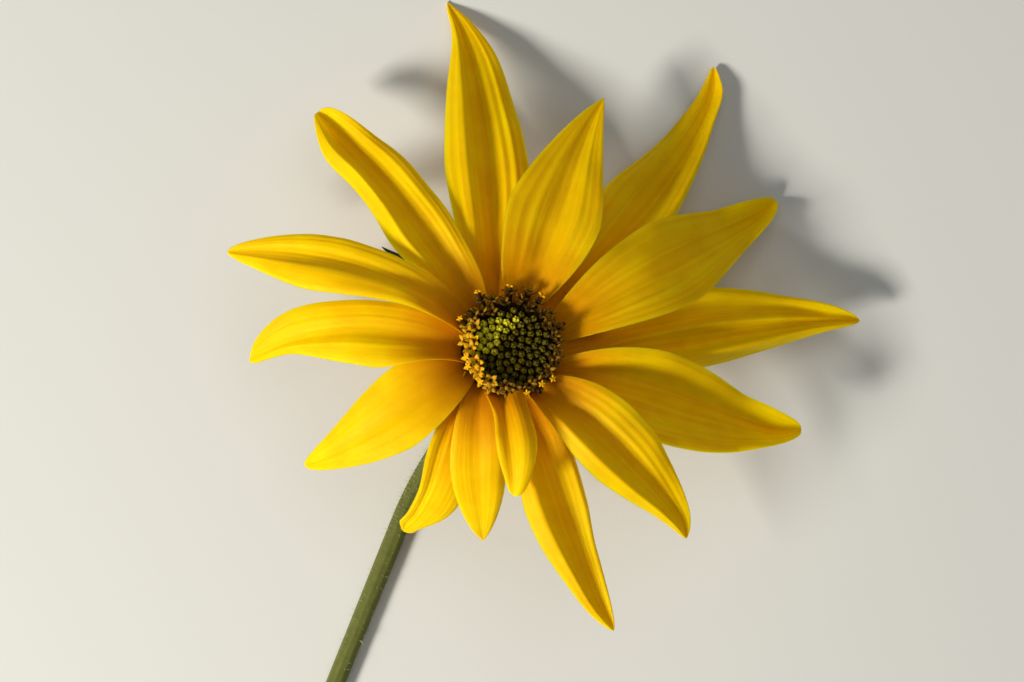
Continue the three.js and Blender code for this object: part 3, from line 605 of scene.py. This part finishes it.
def half_open(bm):
    """A floret about to open: five broad lobes stand round its throat, dark with painted shade, and are
    brown at their edges.
    """
    lathe(bm, 30, [
        plain(0.0, -2.2, 0.1),
        plain(0.24, -2.2, 0.1),
        plain(0.32, -1.0, 0.2),
        (0.38, -0.4, 0.46, -0.3, 0.3),
        (0.46, -0.12, 0.9, 0.36, 0.05),
        (0.44, -0.07, 0.84, 0.42, (0.1, 0.6)),
        (0.38, -0.06, 0.68, 0.34, (0.6, 1.0)),
        (0.25, -0.08, 0.36, 0.08, (0.6, 0.9)),
        (0.14, -0.2, 0.18, -0.16, 0.2),
        plain(0.0, -0.3, 0.0)])


def star(bm):
    """An open floret's corolla: a throat dark with painted shade, with five lobes spread wide, brown at
    their edges.
    """
    lathe(bm, 30, [
        plain(0.0, -2.4, 0.1),
        plain(0.22, -2.4, 0.1),
        plain(0.3, -1.1, 0.2),
        (0.34, -0.35, 0.38, -0.3, 0.3),
        (0.46, -0.14, 0.96, 0.06, 0.05),
        (0.45, -0.09, 0.9, 0.12, (0.1, 0.6)),
        (0.4, -0.05, 0.74, 0.16, (0.6, 1.0)),
        (0.26, -0.06, 0.38, 0.04, (0.6, 0.9)),
        plain(0.2, -0.3, 0.2),
        plain(0.18, -0.9, 0.0),
        plain(0.0, -0.9, 0.0)])


def anther_tube(bm):
    """Five dark anthers grown together in a tube, with small points at its mouth."""
    lathe(bm, 20, [
        plain(0.0, -1.4, 0.0),
        plain(0.2, -1.4, 0.0),
        (0.27, -0.6, 0.29, -0.6, 0.1),
        (0.28, 0.3, 0.31, 0.3, 0.3),
        (0.24, 0.52, 0.28, 0.62, 0.45),
        (0.17, 0.5, 0.22, 0.74, 0.8),
        plain(0.13, 0.3, 0.3),
        plain(0.0, 0.25, 0.0)])


def pollen_star(bm):
    """The mouth of an anther tube that sheds its pollen: five small bright teeth spread apart."""
    lathe(bm, 20, [
        plain(0.0, 0.4, 0.2),
        (0.2, 0.45, 0.24, 0.45, 0.3),
        (0.22, 0.58, 0.5, 0.62, 0.5),
        (0.2, 0.66, 0.47, 0.75, 1.0),
        (0.14, 0.7, 0.3, 0.8, 1.0),
        plain(0.0, 0.74, 0.8)])


def stigma(bm):
    """Two short branches that curl apart, dusted with pollen."""
    layer = bm.verts.layers.float["height"]
    steps, sides, curl, curl_radius = 8, 6, 2.6, 0.26
    for way in (1, -1):
        for v, i, j in wrapped_grid(bm, steps, sides):
            t, turn = i / steps, 2 * pi * j / sides
            bend = t * curl
            centre = Vector((way * curl_radius * (1 - cos(bend)), 0.0, 0.55 + curl_radius * sin(bend)))
            out = Vector((-way * cos(bend), 0.0, sin(bend)))
            radius = 0.075 * (1 - 0.35 * t) * (0.02 if i in (0, steps) else 1.0)
            v.co = centre + (out * cos(turn) + Vector((0, 1, 0)) * sin(turn)) * radius
            v[layer] = 0.4 + 0.6 * t
    bmesh.ops.remove_doubles(bm, verts=bm.verts, dist=DOUBLES)
    bmesh.ops.recalc_face_normals(bm, faces=bm.faces)


def chaffy_scale(bm):
    """A narrow folded blade that stands between the florets."""
    layer = bm.verts.layers.float["height"]
    steps, sides, length, fold = 6, 8, 2.4, 0.25
    for v, i, j in wrapped_grid(bm, steps, sides):
        t, turn = i / steps, 2 * pi * j / sides
        half = 0.36 * (1 - t ** 2.2) + 0.01
        folded = 0.09 * sin(turn) - fold * cos(turn) ** 2 * (1 - t)
        v.co = Vector((half * cos(turn), folded, -length + length * t))
        v[layer] = t ** 2
    bmesh.ops.remove_doubles(bm, verts=bm.verts, dist=DOUBLES)
    bmesh.ops.holes_fill(bm, edges=bm.edges, sides=0)
    bmesh.ops.recalc_face_normals(bm, faces=bm.faces)


def hair(bm):
    """A stiff hair, a thin pointed cone one millimetre long."""
    made = bmesh.ops.create_cone(bm, cap_ends=True, segments=3, radius1=0.045, radius2=0.004, depth=1.0)
    bmesh.ops.translate(bm, verts=made["verts"], vec=(0, 0, -0.5))


def template(build):
    """A mesh to be set many times into one piece."""
    bm = new_bmesh()
    build(bm)
    mesh = bpy.data.meshes.new("template")
    bm.to_mesh(mesh)
    bm.free()
    return mesh


def plant(bm, mesh, foot, top, spin, size=1.0, tone=0.0):
    """Sets a template on the flower, its origin at top and its Z on from foot through top."""
    start = len(bm.verts)
    bm.from_mesh(mesh)
    bm.verts.ensure_lookup_table()
    axis = (top - foot).normalized()
    place = (Matrix.Translation(top) @ axis.to_track_quat("Z", "Y").to_matrix().to_4x4()
             @ Matrix.Rotation(spin, 4, "Z") @ Matrix.Scale(size, 4))
    layer = bm.verts.layers.float["height"]
    for v in bm.verts[start:]:
        v.co = place @ v.co
        v[layer] = min(max(v[layer] + tone, 0.0), 1.0)


# The disc.

chance = random.Random(7)
bud_mesh, half_open_mesh, star_mesh = template(bud), template(half_open), template(star)
anther_mesh, pollen_mesh, stigma_mesh = template(anther_tube), template(pollen_star), template(stigma)
scale_mesh, hair_mesh = template(chaffy_scale), template(hair)
lean_over = HEAD_TURN @ (bearing_vector(LEAN_BEARING) * LEAN)


def sunny(bearing):
    """From 0 on the ring's shaded side to 1 opposite."""
    return 0.5 - 0.5 * cos(radians(bearing - SHADE_BEARING))


def make_buds():
    """Closed buds, ripe and painted bright with light only on one side of the disc and outside a core off
    its middle; the core and the outer buds on the ring's shaded side are darkened as painted shade.
    """
    bm = new_bmesh()
    core = bearing_vector(CORE_BEARING) * CORE_OFFSET
    for k in range(BUDS):
        bearing = k * GOLDEN_ANGLE
        radius = BUD_SPACING * math.sqrt(k + 0.5)
        foot = in_head(radius * FOOT_SHARE, bearing, BUD_FOOT_LEVEL)
        top = in_head(radius, bearing, BUD_LEVEL + 0.1 * scatter(k)) + lean_over
        from_core = (bearing_vector(bearing) * radius - core).length
        ripe_and_lit = smooth(from_core, *CORE_EDGE) * smooth(cos(radians(bearing - RIPE_AND_LIT_BEARING)), 0.3, 0.6)
        # Painted shade: the outer buds on the ring's shaded side stay dark.
        ripe_and_lit *= 1 - smooth(radius, 3.7, 4.3) * (1 - smooth(sunny(bearing), 0.3, 0.9))
        tone = lerp(-0.58, 0.0, ripe_and_lit) + chance.uniform(-0.1, 0.1)
        spin = chance.uniform(0, WHOLE_TURN)
        size = lerp(1.15, 1.2, ripe_and_lit) * chance.uniform(0.96, 1.04)
        plant(bm, bud_mesh, foot, top, spin, size, tone)
    return bm


def make_scales():
    """Chaffy scales between buds and florets, on the same spiral turned a little."""
    bm = new_bmesh()
    for k in range(BUDS + FLORETS):
        bearing = k * GOLDEN_ANGLE + SCALE_TURN
        radius = BUD_SPACING * math.sqrt(k + 1.1)
        foot = in_head(min(radius * FOOT_SHARE, SCALE_FOOT_LIMIT), bearing, FLORET_FOOT_LEVEL)
        top = in_head(min(radius, SCALE_LIMIT), bearing, SCALE_LEVEL)
        spin = chance.uniform(-0.3, 0.3)
        size = chance.uniform(0.85, 1.1)
        plant(bm, scale_mesh, foot, top, spin, size, chance.uniform(-0.2, 0.0))
    return bm


def make_florets():
    """The ring of florets: the inner ones half open, the outer ones open, and in most of those
    an anther tube, with pollen at some mouths, or a stigma."""
    corollas, anthers, stigmas = new_bmesh(), new_bmesh(), new_bmesh()
    inner, outer = FLORET_BAND
    for i in range(FLORETS):
        bearing = (BUDS + i) * GOLDEN_ANGLE
        share = i / (FLORETS - 1)
        lit = sunny(bearing)
        radius = math.sqrt(lerp(inner ** 2, outer ** 2, share))
        up, right = cos(radians(bearing + PICTURE_TURN)), sin(radians(bearing + PICTURE_TURN))
        off_circle = RING_TALL * up * up + RING_HIGH * up - RING_NARROW * right * right - RING_LEFT * right
        foot = in_head(FLORET_FOOT + FLORET_FOOT_SPREAD * (radius - inner), bearing, FLORET_FOOT_LEVEL)
        level = FLORET_LEVEL - FLORET_DROP * share * share + 0.4 * scatter(i)
        top = in_head(radius + share * off_circle, bearing, level) + lean_over * (1 - share)
        spin = chance.uniform(0, WHOLE_TURN)
        # Painted shade: florets on one side of the ring are darker and browner, partly also with age.
        tone = lerp(-0.68, 0.05, smooth(lit, 0.74, 0.97)) + chance.uniform(-0.12, 0.12)
        size = lerp(0.95, 1.12, lit) * chance.uniform(0.88, 1.1)
        opened = i >= HALF_OPEN
        plant(corollas, star_mesh if opened else half_open_mesh, foot, top, spin, size, tone)
        if not opened:
            continue
        axis = (top - foot).normalized()
        kind = chance.random()
        if kind < 0.6:
            mouth = top + axis * chance.choice((0.1, 0.3, 0.6))
            size, tone = chance.uniform(0.9, 1.1), chance.uniform(-0.1, 0.1)
            plant(anthers, anther_mesh, foot, mouth, spin, size, tone)
            if kind < 0.36:
                # Painted shade: pollen is darker on the ring's shaded side.
                size, tone = chance.uniform(0.9, 1.2), lerp(-0.35, 0.15, lit)
                plant(stigmas, pollen_mesh, foot, mouth, spin, size, tone)
        elif kind < 0.7:
            # Painted shade: stigmas are darker on the ring's shaded side.
            size, tone = chance.uniform(0.8, 1.0), lerp(-0.4, 0.0, lit)
            plant(stigmas, stigma_mesh, foot, top - axis * 0.3, spin, size, tone)
    return corollas, anthers, stigmas


buds, scales = make_buds(), make_scales()
corollas, anthers, stigmas = make_florets()
finish_piece("disc_buds", buds, [bud_skin], "disc_bud_florets")
finish_piece("disc_corollas", corollas, [lobe_skin], "disc_open_florets")
finish_piece("anther_tubes", anthers, [anther_skin], None)
finish_piece("stigmas", stigmas, [stigma_skin], None)
finish_piece("chaffy_scales", scales, [scale_skin], None)


# Cup and bracts.

def turned_piece(name, sides, profile, skin, replaced):
    """A profile of (radius, level, tone) turned round the head's axis."""
    bm = new_bmesh()
    lathe(bm, sides, [plain(*ring) for ring in profile])
    for v in bm.verts:
        v.co = HEAD @ v.co
    finish_piece(name, bm, [skin], replaced)


# The disc's floor is dark, as painted shade in the gaps between florets.
turned_piece("disc_floor", 48, [
    (0, -1.3, 0), (4.9, -1.3, 0), (5.6, -0.6, 0), (5.9, 0.2, 0.1), (5.2, 1.1, 0.2),
    (4.3, 1.3, 0.2), (3.2, 1.35, 0.2), (1.6, 1.7, 0.2), (0, 1.8, 0.2)],
    scale_skin, None)
turned_piece("receptacle_cup", 60, [
    (0, -6.5, 0.6), (1.9, -6.5, 0.6), (2.3, -6.2, 0.6), (3.4, -5.8, 0.5), (4.4, -5.1, 0.4),
    (5.9, -3.6, 0.3), (6.7, -2.2, 0.3), (6.95, -1.2, 0.2), (6.7, -0.75, 0.1), (5.9, -0.7, 0.0),
    (4.8, -1.4, 0.0), (0, -1.5, 0.0)],
    cup_skin, "involucre")


def bract_surface(ring, seed, bearing):
    """How a bract's middle layer runs, and which ways it points out and sideways."""
    if bearing == LONG_BRACT["bearing"]:
        bearing += LONG_BRACT["turn"]
        reach, width, pointed = LONG_BRACT["reach"], LONG_BRACT["width"], LONG_BRACT["pointed"]
    else:
        reach = ring["reach"] + BRACT_SCATTER * scatter(seed + 40)
        width, pointed = ring["width"], BRACT_POINTED
    out, side = bearing_vector(bearing), bearing_vector(bearing + 90)
    foot = out * ring["foot"][0] + upright(ring["foot"][1])
    tip = out * reach + upright(ring["level"] + BRACT_SCATTER * scatter(seed))
    length = reach - ring["foot"][0]
    first = foot + out * length * 0.4 + upright(length * 0.4 * math.tan(radians(ring["rise"])))
    last = tip - out * length * 0.4 + upright(length * 0.12)
    line = interpolate_bezier(foot, first, last, tip, BRACT_STEPS + 1)

    def place(t, u):
        k = round(t * BRACT_STEPS)
        along = (line[min(k + 1, BRACT_STEPS)] - line[max(k - 1, 0)]).normalized()
        up = side.cross(along).normalized()
        half = width / 2 * max(0.0, 1 - (max(0.0, t - 0.15) / 0.85) ** pointed)
        lift = 0.35 * abs(u) * min(1.0, half) - 0.12 * hump(u, 0.0, 0.18) * min(1.0, half)
        lift += 0.12 * half * noise.noise(Vector((t * 4, u, seed)))
        return HEAD @ (line[k] + side * u * half + up * lift), HEAD_TURN @ up

    return place, out, side


def make_bracts():
    """Keeled leafy bracts in three rings, with stiff hairs along their margins."""
    bm, hairs = new_bmesh(), new_bmesh()
    for r, ring in enumerate(BRACT_RINGS):
        for i in range(ring["count"]):
            bearing = ring["first"] + 360 / ring["count"] * i
            place, out, side = bract_surface(ring, 10 * r + i + 1, bearing)
            blade(bm, BRACT_STEPS, BRACT_COLUMNS, place, BRACT_THICKNESS)
            for step in range(3, 25, 2):
                for margin in (-1, 1):
                    root, _ = place(step / BRACT_STEPS, margin)
                    forward = out * chance.uniform(0.2, 0.9)
                    way = HEAD_TURN @ (side * margin + forward + upright(chance.uniform(-0.4, 0.3)))
                    end = root + way.normalized() * chance.uniform(0.4, 0.8)
                    plant(hairs, hair_mesh, root, end, 0.0)
    layer = bm.verts.layers.float["height"]
    to_head = HEAD.inverted()
    for v in bm.verts:
        v[layer] = smooth((to_head @ v.co).xy.length, 12.5, 5.0)
    finish_piece("bracts", bm, [bract_skin, bract_back], "involucre", sharp=60)
    finish_piece("bract_hairs", hairs, [hair_skin], None)


make_bracts()


# The stem.

def stem_line():
    """Centres and radii from the cut end to the head. The centres lie as high as those of the
    source's stem, which has ten sides and rests on one of them."""
    level = cos(pi / 10)
    axis = HEAD_TURN @ upright(1)
    neck = HEAD @ upright(-CUP_DEPTH - 0.3)
    ground = Vector((HEAD_AT.x, HEAD_AT.y, 0))
    start = ground + CUT_END + upright(STEM_RADIUS[0] * level)
    rest = ground + TOUCH_DOWN + upright(STEM_RADIUS[1] * level)
    ahead = rest - start
    ahead.z = 0
    ahead.normalize()
    run = [start.lerp(rest, i / STEM_STEPS) for i in range(STEM_STEPS)]
    radii = [lerp(*STEM_RADIUS, i / STEM_STEPS) for i in range(STEM_STEPS)]
    past_rest, below_neck = rest + ahead * BEND_PULL, neck - axis * NECK_PULL
    run += interpolate_bezier(rest, past_rest, below_neck, neck, BEND_STEPS + 1)
    for i in range(BEND_STEPS + 1):
        t = i / BEND_STEPS
        radii.append(lerp(STEM_RADIUS[1], NECK_RADIUS, t ** 1.5) + NECK_FLARE * smooth(t, 0.92, 1.0))
    return run, radii


def make_stem():
    """The rind with its ridges, and the pith at the cut end."""
    line, radii = stem_line()
    last = len(line) - 1
    bm = new_bmesh()
    layer = bm.verts.layers.float["height"]
    for v, i, j in wrapped_grid(bm, last, STEM_SIDES):
        turn = 2 * pi * j / STEM_SIDES
        along = (line[min(i + 1, last)] - line[max(i - 1, 0)]).normalized()
        side = (Vector((1, 0, 0)) - along * along.x).normalized()
        out = side * sin(turn) - side.cross(along) * cos(turn)
        ridge = 1 + 0.035 * cos(STEM_RIDGES * turn + 0.02 * i)
        ridge += 0.03 * noise.noise(Vector((i * 0.09, cos(turn), sin(turn))))
        v.co = line[i] + out * radii[i] * ridge
        v.co.z = max(v.co.z, 0.02)
        # Painted shade: the rind darkens on its upper bend and neck, under the head; the streaks are its
        # own mottle.
        streak = 0.2 * noise.noise(Vector((i * 0.05, j * 0.3, 3)))
        v[layer] = 0.75 - 0.5 * smooth(i / last, 0.75, 1.0) + streak
    bmesh.ops.remove_doubles(bm, verts=bm.verts, dist=DOUBLES)
    ends = bmesh.ops.holes_fill(bm, edges=bm.edges, sides=0)["faces"]
    bmesh.ops.recalc_face_normals(bm, faces=bm.faces)
    bmesh.ops.inset_region(bm, faces=ends, thickness=0.18)
    for f in ends:
        if f.is_valid:
            f.material_index = 1
    finish_piece("stem_rind", bm, [stem_skin, pith], "stem")
    make_stem_hairs(line, radii)


def make_stem_hairs(line, radii):
    """Stiff hairs all round the stem, thickest on its bend and neck, none under it."""
    hairs = new_bmesh()
    last = len(line) - 1
    for _ in range(STEM_HAIRS):
        at = chance.uniform(1, last - 1)
        if chance.random() >= HAIRS_ALL_OVER:
            at = lerp(STEM_STEPS - 2, last - 1, chance.random())
        i = int(at)
        along = (line[i + 1] - line[i - 1]).normalized()
        side = (Vector((1, 0, 0)) - along * along.x).normalized()
        turn = chance.uniform(0, 2 * pi)
        out = side * sin(turn) - side.cross(along) * cos(turn)
        root = line[i] + out * radii[i] * 0.98
        way = (out + along * chance.uniform(-0.5, 0.3)).normalized()
        tip = root + way * chance.uniform(0.4, 0.9)
        if min(root.z, tip.z) > 0.1:
            plant(hairs, hair_mesh, root, tip, 0.0)
    finish_piece("stem_hairs", hairs, [hair_skin], None)


make_stem()


# Table, light and camera.

PICTURE_RIGHT = Vector((cos(radians(PICTURE_TURN)), sin(radians(PICTURE_TURN)), 0))
PICTURE_UP = Vector((-sin(radians(PICTURE_TURN)), cos(radians(PICTURE_TURN)), 0))
FLOOR_HALF = 1.5
CAMERA_AT = Vector((-1.12, 27.34, 354.64))


def from_picture(right, up, high, distance):
    """A place seen from the head, by the picture's own directions."""
    return HEAD_AT + (PICTURE_RIGHT * right + PICTURE_UP * up + upright(high)).normalized() * distance


def make_floor():
    """Matt pale card, which shows soft shadows and no shine."""
    bm = bmesh.new()
    bmesh.ops.create_grid(bm, x_segments=1, y_segments=1, size=FLOOR_HALF)
    mesh = bpy.data.meshes.new("floor")
    bm.to_mesh(mesh)
    bm.free()
    card, _, _ = material("Matt pale card", Base_Color=rgb("#DCDCD8"), Roughness=0.9)
    mesh.materials.append(card)
    floor = bpy.data.objects.new("floor", mesh)
    scene.collection.objects.link(floor)


def add_area(name, place_mm, size_mm, watts, colour):
    """A square lamp that looks at the head."""
    lamp = bpy.data.lights.new(name, "AREA")
    lamp.shape, lamp.size = "SQUARE", size_mm * MM
    lamp.energy, lamp.color = watts, rgb(colour)[:3]
    thing = bpy.data.objects.new(name, lamp)
    thing.location = place_mm * MM
    thing.rotation_euler = (HEAD_AT - place_mm).to_track_quat("-Z", "Y").to_euler()
    scene.collection.objects.link(thing)


make_floor()
add_area("key", from_picture(-0.86, -0.5, 0.71, 700), 150, 5.9, "#FFFAF0")
add_area("fill", from_picture(0.2, 0.3, 1.0, 900), 700, 1.45, "#F8FAF6")

world = bpy.data.worlds.new("Studio")
scene.world = world
world.use_nodes = True
background = world.node_tree.nodes["Background"]
background.inputs["Color"].default_value = rgb("#EEF2F0")
background.inputs["Strength"].default_value = 0.16
scene.view_settings.view_transform = "Standard"

lens = bpy.data.cameras.new("camera")
lens.lens, lens.sensor_width = 100, 36
lens.clip_start, lens.clip_end = 0.01, 10
camera = bpy.data.objects.new("camera", lens)
camera.location = CAMERA_AT * MM
camera.rotation_euler = (0, 0, radians(PICTURE_TURN))
scene.collection.objects.link(camera)
scene.camera = camera
